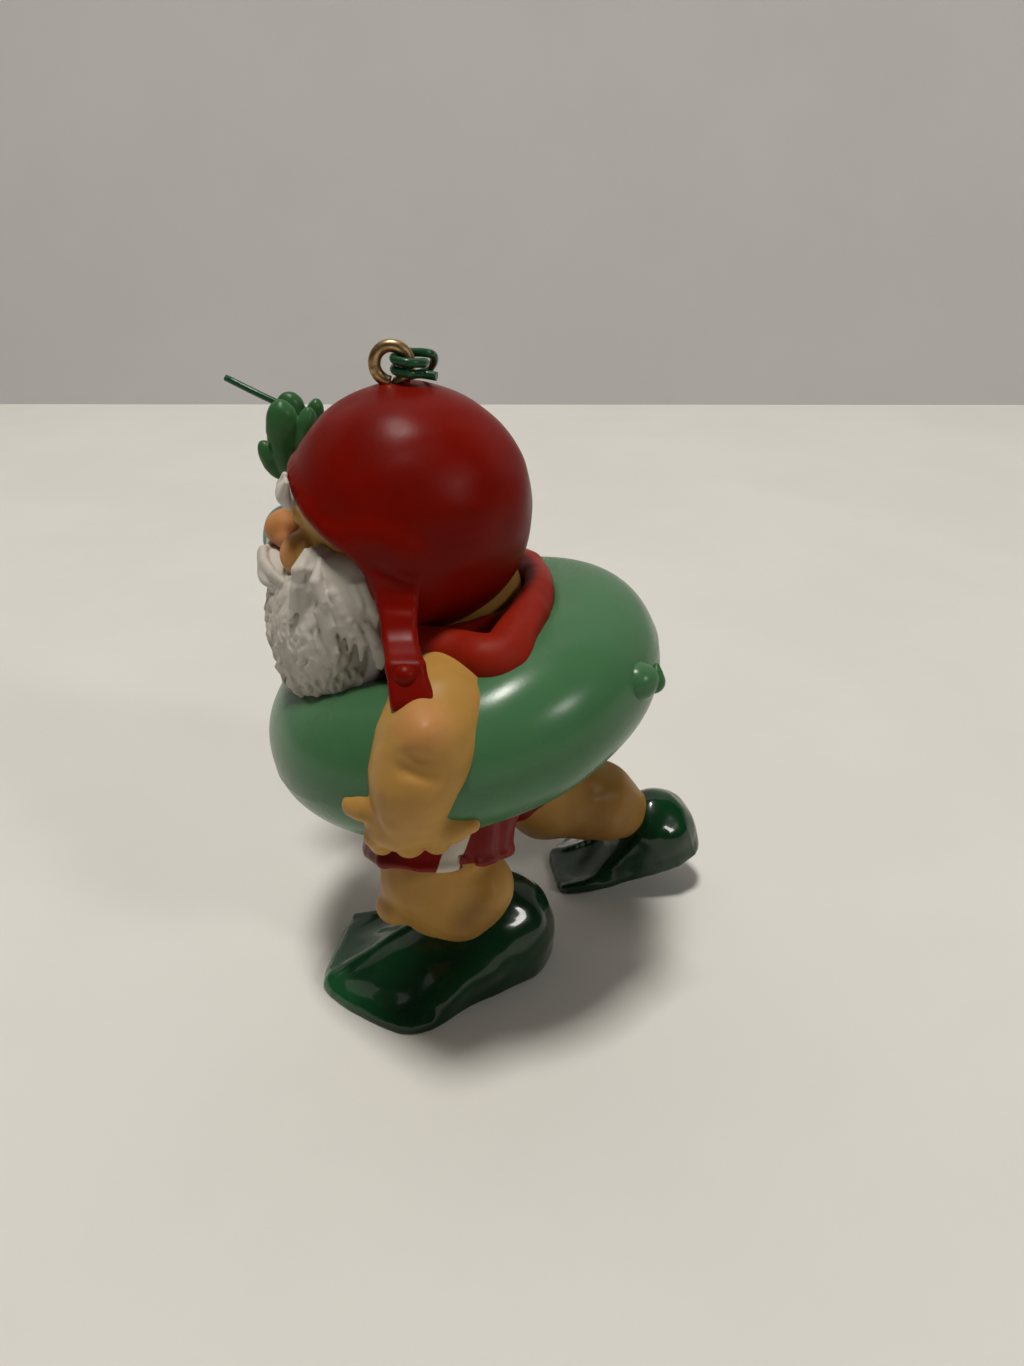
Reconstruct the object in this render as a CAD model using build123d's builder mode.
"""Hanging ornament: a white-bearded old swimmer in a swim ring, cap and flippers.

Millimetres, +Z up. The figure faces -Y and its left side is +X. The origin lies on the floor, in the
middle of the whole ornament's plan. The pieces are the mouldings that the figure is glued up from: each
one is cut to seat on its neighbours, and a formed wire hanger swings on the brass eye in the cap.
"""

from build123d import *

import os
from itertools import pairwise
from math import cos, radians, sin, tan

os.makedirs("parts", exist_ok=True)

# Where the hanging eye's axis stands in the plan of the whole ornament.
EYE_X = 1.56
EYE_Y = -9.1


def at(x, y, z):
    """A point given from the foot of the hanging eye's axis."""
    return Vector(EYE_X + x, EYE_Y + y, z)


UPWARD = (Align.CENTER, Align.CENTER, Align.MIN)
POLES_LEVEL = Rot(90, 0, 0)

# Swim ring: a torus, its rear tilted up, with a valve at the rear.
RING_CENTRE = at(0, 7, 37)
RING_RADIUS = 15.1
RING_TUBE = 8.5
RING_TILT = 17.5
VALVE_ROUND = 61
VALVE_RADIUS = 1.4
VALVE_DEPTH = 1.5
VALVE_LENGTH = 1.4
STOPPER_RADIUS = 1.8
STOPPER_HEIGHT = 1.0
STOPPER_PLUG = 0.7

# Head, cap and the flaps of the cap.
HEAD_CENTRE = at(0, 1.4, 58)
HEAD_RADIUS = 11.4
NOSE_RADIUS = 2.5
CHEEK_RADIUS = 3.0
CAP_CENTRE = at(0, 1.8, 58.5)
CAP_RADIUS = 13.3
FACE_OPENING = [(-20, 66), (-11.5, 63.9), (-0.6, 52.6), (-0.6, 40), (-20, 40)]
FLAP_WIDTH = 4.2
FLAP_THICKNESS = 1.5
FLAP_ROUTE = [(11.4, 56.6), (12.9, 51.9), (15.2, 49.6), (19.2, 47.6)]
STUD_SPOT = (17.6, 2.4, 48.3)
STUD_RADIUS = 1.5
STUD_HEIGHT = 1.0
STUD_PEG = 0.6

# Body. The waist is what passes through the ring.
NECK_FOOT = at(0, 6.6, 42)
NECK_RADIUS = 4.8
NECK_LENGTH = 9.0
NECK_PEG_RADIUS = 2.5
NECK_PEG_LENGTH = 11.5
WAIST_RADIUS = 5.8
WAIST_BASE = 24.0
TRUNK_LEGS = [((5, 6.4, 27), (8, 4.6, 19.4), 7.4, 8.2), ((-4.6, 8, 27), (-7.6, 14.2, 19.8), 7.1, 7.3)]
COLLAR_CENTRE = at(0, 8.2, 47.5)
COLLAR_RADIUS = 7.4
COLLAR_TUBE = 2.3
COLLAR_TILT = 20

# Screw eye and hanger wire.
EYE_CENTRE = at(0, 0.6, 73.6)
EYE_RADIUS = 1.8
EYE_WIRE = 0.65
SHANK_LENGTH = 9.0
EYE_SEAT_RADIUS = 1.9
EYE_SEAT_GAP = 0.05
HANGER_WIRE = 0.45
WRAP_RADIUS = 1.75
WRAP_PITCH = 1.06
WRAP_SIDES = 6
WRAP_STEPS = 10
WRAP_START = 60
WRAP_FOOT = 72.72
BEND = 0.45

# Flippers: a sole, a roof-shaped blade and a heel cup.
BLADE_EDGE = 1.2
SOLE = [(-1.0, 14.0), (-1.6, -3.6), (-0.4, -8.8), (11.2, -10.3), (18.2, 0.2), (14.0, 6.4), (10.0, 13.5)]
HEEL_BACK = (4.6, 17.8)
RIDGE_TOP = (5.5, 8.0, 10.0)
RIDGE_TOE = (10.6, -9.8, 1.4)
NEAR_EDGE = (18.2, 0.2, 1.4)
FAR_EDGE = (-1.6, -3.6, 1.4)
INSTEP = (0.6, 12.0, 8.0)
BLADE_HEIGHT = 13.0
REAR_TOE = (-7.4, 20.0)
REAR_SCALE = 0.76
REAR_PITCH = 18

# Animal head on the ring, at the figure's right front, with its antlers.
FLOAT_X = -17
ANTLER_SPREAD = 2.6

# The hanger's free route, from the end of its wrap to the tip, and its short stub.
HANGER_ROUTE = [
    (-2.4, 4.6, 74.1),
    (-4.6, 3.9, 72.3),
    (-7.6, 0.6, 70.6),
    (-13.0, -3.0, 67.0),
    (-19.5, -6.6, 64.0),
    (-24.8, -11.8, 62.8),
    (-27.6, -18.2, 64.5),
    (-30.0, -24.9, 67.1),
]
HANGER_STUB = (1.1, 5.2, 72.55)


def rod(joints):
    """Adds a rounded rod through (point, radius) joints to the part being built."""
    for (start, first), (end, last) in pairwise(joints):
        run = end - start
        with Locations(Plane(origin=start, z_dir=run)):
            Cone(first, last, run.length, align=UPWARD)
    for point, radius in joints:
        with Locations(point):
            Sphere(radius)


def egg(centre, radii):
    """Adds an egg with three half axes to the part being built."""
    add(Pos(centre) * scale(Sphere(1, mode=Mode.PRIVATE), by=radii, mode=Mode.PRIVATE))


def cut_from(*pieces):
    """Cuts finished pieces from the part being built."""
    for piece in pieces:
        add(piece.part, mode=Mode.SUBTRACT)


def other_side(piece, across=EYE_X):
    """The same piece on the other side of an upright plane."""
    return mirror(piece.part, about=Plane.YZ.offset(across), mode=Mode.PRIVATE)


def tilted(centre, angle):
    """A level plane tilted so that its rear stands higher."""
    return Plane(origin=centre, x_dir=(1, 0, 0), z_dir=(0, -sin(radians(angle)), cos(radians(angle))))


def wire_bends(points):
    """The largest even radius for each inner corner of a wire's route."""
    radii = []
    for before, corner, after in zip(points, points[1:], points[2:]):
        turn = (corner - before).get_angle(after - corner)
        shorter = min((corner - before).length, (after - corner).length)
        radii.append(BEND * shorter / tan(radians(turn / 2)))
    return radii


# Swim ring, with a socket for its valve.
ring_level = tilted(RING_CENTRE, RING_TILT)
valve_way = Vector(cos(radians(VALVE_ROUND)), sin(radians(VALVE_ROUND)), 0)
valve_mouth = ring_level.from_local_coords(valve_way * (RING_RADIUS + RING_TUBE))
valve_seat = Plane(origin=valve_mouth, z_dir=valve_mouth - RING_CENTRE)

with BuildPart() as swim_ring:
    with Locations(ring_level):
        Torus(RING_RADIUS, RING_TUBE)
    with Locations(valve_seat):
        Cylinder(VALVE_RADIUS, 2 * VALVE_DEPTH, mode=Mode.SUBTRACT)
swim_ring.part.label = "swim_ring"
export_step(swim_ring.part, "parts/swim_ring.step")

with BuildPart() as valve_stopper:
    with Locations(valve_seat.offset(VALVE_LENGTH)):
        Cylinder(STOPPER_RADIUS, STOPPER_HEIGHT, align=UPWARD)
        Cylinder(STOPPER_PLUG, 2 * VALVE_LENGTH)
valve_stopper.part.label = "valve_stopper"
export_step(valve_stopper.part, "parts/valve_stopper.step")

with BuildPart() as ring_valve:
    with Locations(valve_seat.offset(-VALVE_DEPTH)):
        Cylinder(VALVE_RADIUS, VALVE_DEPTH + VALVE_LENGTH, align=UPWARD)
    cut_from(valve_stopper)
ring_valve.part.label = "ring_valve"
export_step(ring_valve.part, "parts/ring_valve.step")

# Screw eye: a ring of brass wire on a plain shank.
with BuildPart() as screw_eye:
    with Locations(Plane(origin=EYE_CENTRE, z_dir=(1, 0, 0))):
        Torus(EYE_RADIUS, EYE_WIRE)
    with Locations(EYE_CENTRE - Vector(0, 0, EYE_RADIUS + SHANK_LENGTH)):
        Cylinder(EYE_WIRE, SHANK_LENGTH, align=UPWARD)
screw_eye.part.label = "screw_eye"
export_step(screw_eye.part, "parts/screw_eye.step")

# Torso: chest, neck with its peg, and the waist that passes through the ring.
with BuildPart() as torso:
    with Locations(NECK_FOOT):
        Cylinder(NECK_PEG_RADIUS, NECK_PEG_LENGTH, align=UPWARD)
    with BuildPart(mode=Mode.PRIVATE) as body_core:
        with Locations(NECK_FOOT):
            Cylinder(NECK_RADIUS, NECK_LENGTH, align=UPWARD)
        with Locations(HEAD_CENTRE):
            Sphere(HEAD_RADIUS, mode=Mode.SUBTRACT)
    add(body_core.part)
    egg(at(0, 7, 42), (8.5, 6.5, 6.0))
    with Locations(at(0, 7, WAIST_BASE)):
        Cylinder(WAIST_RADIUS, RING_CENTRE.Z - WAIST_BASE + 4, align=UPWARD)
    cut_from(swim_ring)
torso.part.label = "torso"
export_step(torso.part, "parts/torso.step")

# Head: a ball with the nose and cheeks, seated on the neck's peg.
with BuildPart() as head:
    with Locations(HEAD_CENTRE):
        Sphere(HEAD_RADIUS)
    with Locations(at(0, -11.4, 56.4)):
        Sphere(NOSE_RADIUS)
    with Locations(at(4.4, -8.9, 54.9), at(-4.4, -8.9, 54.9)):
        Sphere(CHEEK_RADIUS)
    cut_from(torso, screw_eye)
head.part.label = "head"
export_step(head.part, "parts/head.step")

# Cap: a ball shell, open at the face and round the neck.
with BuildPart() as cap:
    with Locations(Pos(CAP_CENTRE) * POLES_LEVEL):
        Sphere(CAP_RADIUS)
    with BuildSketch(Plane.YZ.offset(EYE_X)):
        with BuildLine():
            Polyline([(EYE_Y + y, z) for y, z in FACE_OPENING], close=True)
        make_face()
    extrude(amount=CAP_RADIUS + 2, both=True, mode=Mode.SUBTRACT)
    with Locations(Pos(HEAD_CENTRE) * POLES_LEVEL):
        Sphere(HEAD_RADIUS, mode=Mode.SUBTRACT)
    with Locations(NECK_FOOT):
        Cylinder(NECK_RADIUS, NECK_LENGTH, align=UPWARD, mode=Mode.SUBTRACT)
    with Locations(EYE_CENTRE - Vector(0, 0, EYE_RADIUS + SHANK_LENGTH)):
        Cylinder(EYE_WIRE, 2 * SHANK_LENGTH, align=UPWARD, mode=Mode.SUBTRACT)
    with Locations(EYE_CENTRE - Vector(0, 0, EYE_RADIUS + EYE_WIRE + EYE_SEAT_GAP)):
        Cylinder(EYE_SEAT_RADIUS, SHANK_LENGTH, align=UPWARD, mode=Mode.SUBTRACT)
cap.part.label = "cap"
export_step(cap.part, "parts/cap.step")

# Vest: a shell over the chest with a thick rolled collar.
with BuildPart() as vest:
    egg(at(0, 7.8, 43.2), (12.0, 9.4, 7.0))
    with Locations(tilted(COLLAR_CENTRE, COLLAR_TILT)):
        Torus(COLLAR_RADIUS, COLLAR_TUBE)
    with Locations(NECK_FOOT + Vector(0, 0, 4)):
        Cylinder(NECK_RADIUS + 0.6, NECK_LENGTH, align=UPWARD, mode=Mode.SUBTRACT)
    with Locations(CAP_CENTRE):
        Sphere(CAP_RADIUS, mode=Mode.SUBTRACT)
    cut_from(torso, swim_ring)
vest.part.label = "vest"
export_step(vest.part, "parts/vest.step")

# Arms: over the ring's tube, down its outside, with the hand under it.
with BuildPart() as left_arm:
    rod([
        (at(10.5, 6.4, 42.6), 4.7),
        (at(16, 6, 43), 5.0),
        (at(21, 5, 41), 5.1),
        (at(22.3, 3.8, 35), 5.0),
        (at(21, 2.6, 30.5), 4.5),
        (at(16.6, 2.4, 28), 3.4),
    ])
    rod([(at(21, 0, 31.5), 2.2), (at(20.5, -4.2, 33), 1.5)])
    rod([(at(20.5, 5, 30.2), 2.2), (at(19.5, 9.3, 30), 1.4)])
    cut_from(swim_ring, vest, torso)
left_arm.part.label = "left_arm"
export_step(left_arm.part, "parts/left_arm.step")

with BuildPart() as right_arm:
    add(other_side(left_arm))
right_arm.part.label = "right_arm"
export_step(right_arm.part, "parts/right_arm.step")

# Flaps of the cap with their snap studs: a strap hangs from the rim and lies on the shoulder.
with BuildPart() as left_flap:
    with BuildSketch(Plane.XZ.offset(-EYE_Y - STUD_SPOT[1] + FLAP_WIDTH / 2)):
        with BuildLine():
            Polyline([(EYE_X + x, z) for x, z in FLAP_ROUTE])
            offset(amount=FLAP_THICKNESS, side=Side.LEFT, closed=True)
        make_face()
    extrude(amount=-FLAP_WIDTH)
    with Locations(HEAD_CENTRE):
        Sphere(HEAD_RADIUS, mode=Mode.SUBTRACT)
    cut_from(left_arm)

stud_rise = Vector(FLAP_ROUTE[-1][1] - FLAP_ROUTE[-2][1], 0, FLAP_ROUTE[-2][0] - FLAP_ROUTE[-1][0]) * -1
stud_foot = at(STUD_SPOT[0], STUD_SPOT[1], STUD_SPOT[2])
stud_seat = Plane(origin=stud_foot, z_dir=stud_rise)

with BuildPart() as stud_left:
    with Locations(stud_seat):
        Cylinder(STUD_RADIUS, STUD_HEIGHT, align=UPWARD)
        Cylinder(STUD_PEG, FLAP_THICKNESS)
    fillet(stud_left.edges().filter_by(GeomType.CIRCLE).group_by(Axis(stud_foot, stud_rise))[-1], STUD_HEIGHT / 2)

with BuildPart() as snap_studs:
    add(stud_left.part)
    add(other_side(stud_left))
snap_studs.part.label = "snap_studs"
export_step(snap_studs.part, "parts/snap_studs.step")

with BuildPart() as cap_flap_left:
    add(left_flap.part)
    cut_from(stud_left)
    with Locations(CAP_CENTRE):
        Sphere(CAP_RADIUS, mode=Mode.SUBTRACT)
cap_flap_left.part.label = "cap_flap_left"
export_step(cap_flap_left.part, "parts/cap_flap_left.step")

with BuildPart() as cap_flap_right:
    add(other_side(cap_flap_left))
cap_flap_right.part.label = "cap_flap_right"
export_step(cap_flap_right.part, "parts/cap_flap_right.step")

# Beard, moustache and eyebrows, seated on the face and the ring.
with BuildPart() as beard_block:
    egg(at(0, -6.2, 46.2), (12.3, 8.8, 11.2))
    cut_from(head, swim_ring, torso, vest, left_arm, right_arm, cap, cap_flap_left, cap_flap_right)

with BuildPart() as beard:
    add(beard_block.solids().sort_by(SortBy.VOLUME)[-1])
beard.part.label = "beard"
export_step(beard.part, "parts/beard.step")

with BuildPart() as moustache:
    for side in (1, -1):
        egg(at(3.3 * side, -13.3, 52.3), (4.4, 2.6, 2.2))
    cut_from(beard, head)
moustache.part.label = "moustache"
export_step(moustache.part, "parts/moustache.step")

with BuildPart() as eyebrows:
    for side in (1, -1):
        egg(at(4.6 * side, -9.6, 61.6), (3.0, 2.0, 1.6))
    cut_from(head, cap)
eyebrows.part.label = "eyebrows"
export_step(eyebrows.part, "parts/eyebrows.step")

# Legs: the left one stands, the right one stretches back.
with BuildPart() as left_leg:
    rod([
        (at(6.6, 5.4, 23.5), 6.0),
        (at(8.2, 2.2, 14), 5.7),
        (at(6.6, 6.8, 9), 5.4),
        (at(5.6, 9.2, 5.8), 4.0),
    ])
    cut_from(torso, swim_ring)
left_leg.part.label = "left_leg"
export_step(left_leg.part, "parts/left_leg.step")

with BuildPart() as right_leg:
    rod([
        (at(-6, 11.5, 24), 6.0),
        (at(-8.2, 17.5, 15.8), 5.6),
        (at(-10.2, 26, 13.4), 4.8),
        (at(-11.3, 31, 10.6), 3.6),
    ])
    cut_from(torso, swim_ring, left_leg)
right_leg.part.label = "right_leg"
export_step(right_leg.part, "parts/right_leg.step")

# Trunks: hips and two short legs, hung on the waist.
with BuildPart() as trunks:
    egg(at(0, 7.4, 26.5), (12.0, 8.6, 6.5))
    for start, end, first, last in TRUNK_LEGS:
        with Locations(Plane(origin=at(*start), z_dir=at(*end) - at(*start))):
            Cone(first, last, (at(*end) - at(*start)).length, align=UPWARD)
    cut_from(swim_ring, torso, left_leg, right_leg, left_arm, right_arm)
trunks.part.label = "trunks"
export_step(trunks.part, "parts/trunks.step")

# Flippers: the standing one lies flat, the rear one is pitched up from its toe edge.
with BuildPart() as roof:
    with BuildSketch():
        with BuildLine():
            Polyline([at(x, y, 0) for x, y in SOLE], close=True)
        make_face()
    extrude(amount=BLADE_HEIGHT)
    for edge in (NEAR_EDGE, FAR_EDGE, INSTEP):
        along = at(*RIDGE_TOE) - at(*RIDGE_TOP) if edge != INSTEP else Vector(1, 0, 0)
        slope = along.cross(at(*edge) - at(*RIDGE_TOP))
        slope = slope if slope.Z > 0 else -slope
        split(bisect_by=Plane(origin=at(*RIDGE_TOP), z_dir=slope), keep=Keep.BOTTOM)

with BuildPart() as flipper:
    with BuildSketch():
        with BuildLine():
            Polyline([at(x, y, 0) for x, y in SOLE])
            ThreePointArc(at(*SOLE[-1], 0), at(*HEEL_BACK, 0), at(*SOLE[0], 0))
        make_face()
    extrude(amount=BLADE_EDGE)
    add(roof.part)
    with Locations(at(5.0, 10.8, 0)):
        Cylinder(5.2, BLADE_EDGE, align=UPWARD)
    egg(at(5.0, 10.8, 5.4), (6.2, 7.0, 7.6))
    split(bisect_by=Plane.XY)

with BuildPart() as left_flipper:
    add(flipper.part)
    cut_from(left_leg)
left_flipper.part.label = "left_flipper"
export_step(left_flipper.part, "parts/left_flipper.step")

toe_corner = Vector(-SOLE[2][0], SOLE[2][1], 0)
rear_foot = Pos(at(*REAR_TOE, 0)) * Rot(REAR_PITCH, 0, 0)
small_flipper = scale(Pos(-toe_corner - at(0, 0, 0)) * other_side(flipper), by=REAR_SCALE, mode=Mode.PRIVATE)

with BuildPart() as right_flipper:
    add(rear_foot * small_flipper)
    cut_from(right_leg)
    split(bisect_by=Plane.XY)
right_flipper.part.label = "right_flipper"
export_step(right_flipper.part, "parts/right_flipper.step")

# Animal head of the ring: neck, muzzle, ears and antlers.
with BuildPart() as float_head:
    rod([
        (at(-13.4, -5.6, 38.6), 4.2),
        (at(-16.4, -9.4, 47.6), 3.7),
        (at(FLOAT_X, -11.6, 52.4), 4.2),
    ])
    cut_from(swim_ring, beard, right_arm)
float_head.part.label = "float_head"
export_step(float_head.part, "parts/float_head.step")

with BuildPart() as float_muzzle:
    egg(at(FLOAT_X, -15.6, 50.2), (3.6, 3.5, 3.6))
    cut_from(float_head, beard, moustache)
float_muzzle.part.label = "float_muzzle"
export_step(float_muzzle.part, "parts/float_muzzle.step")

with BuildPart() as antler_left:
    rod([
        (at(FLOAT_X + 1.6, -12.6, 55.0), 1.1),
        (at(FLOAT_X + ANTLER_SPREAD, -13.6, 60.6), 1.9),
        (at(FLOAT_X + ANTLER_SPREAD, -13.8, 65.0), 1.8),
    ])
    rod([(at(FLOAT_X + 2.2, -13.2, 58.0), 1.1), (at(FLOAT_X + ANTLER_SPREAD, -16.4, 61.0), 1.5)])
    rod([(at(FLOAT_X + ANTLER_SPREAD, -13.2, 60.4), 1.2), (at(FLOAT_X + ANTLER_SPREAD, -10.8, 65.2), 1.4)])
    cut_from(float_head)
antler_left.part.label = "antler_left"
export_step(antler_left.part, "parts/antler_left.step")

with BuildPart() as antler_right:
    add(other_side(antler_left, EYE_X + FLOAT_X))
antler_right.part.label = "antler_right"
export_step(antler_right.part, "parts/antler_right.step")

with BuildPart() as float_ears:
    for side in (1, -1):
        rod([(at(FLOAT_X + 2.6 * side, -9.6, 54.4), 1.2), (at(FLOAT_X + 5.2 * side, -8.4, 54.6), 0.9)])
    cut_from(float_head, antler_left, antler_right, cap)
float_ears.part.label = "float_ears"
export_step(float_ears.part, "parts/float_ears.step")

# Hanger: a coated wire wrapped round the rear of the eye, its long end formed out to the right.
wrap_points = []
for step in range(WRAP_STEPS + 1):
    turns = step / WRAP_SIDES
    way = radians(WRAP_START - 360 * turns)
    spot = at(WRAP_RADIUS * cos(way), 0.6 + EYE_RADIUS + WRAP_RADIUS * sin(way), WRAP_FOOT + WRAP_PITCH * turns)
    wrap_points.append(spot)
hanger_points = [at(*HANGER_STUB)] + wrap_points + [at(*point) for point in HANGER_ROUTE]
hanger_radii = wire_bends(hanger_points)
print("hanger bend radii:", [round(radius, 2) for radius in hanger_radii])

with BuildPart() as hanger_wire:
    with BuildLine() as hanger_line:
        FilletPolyline(hanger_points, radius=hanger_radii)
    with BuildSketch(Plane(origin=hanger_points[0], z_dir=hanger_points[1] - hanger_points[0])):
        Circle(HANGER_WIRE)
    sweep(path=hanger_line.line)
hanger_wire.part.label = "hanger_wire"
export_step(hanger_wire.part, "parts/hanger_wire.step")

pieces = [
    swim_ring, ring_valve, valve_stopper, screw_eye, hanger_wire, torso, vest, trunks, head, cap,
    cap_flap_left, cap_flap_right, snap_studs, beard, moustache, eyebrows, left_arm, right_arm,
    left_leg, right_leg, left_flipper, right_flipper, float_head, float_muzzle, float_ears, antler_left, antler_right,
]
whole = Compound(children=[piece.part for piece in pieces]).bounding_box()
print("plan middle:", round(whole.center().X, 2), round(whole.center().Y, 2), "foot:", round(whole.min.Z, 3))
print("size:", round(whole.size.X, 2), round(whole.size.Y, 2), round(whole.size.Z, 2))
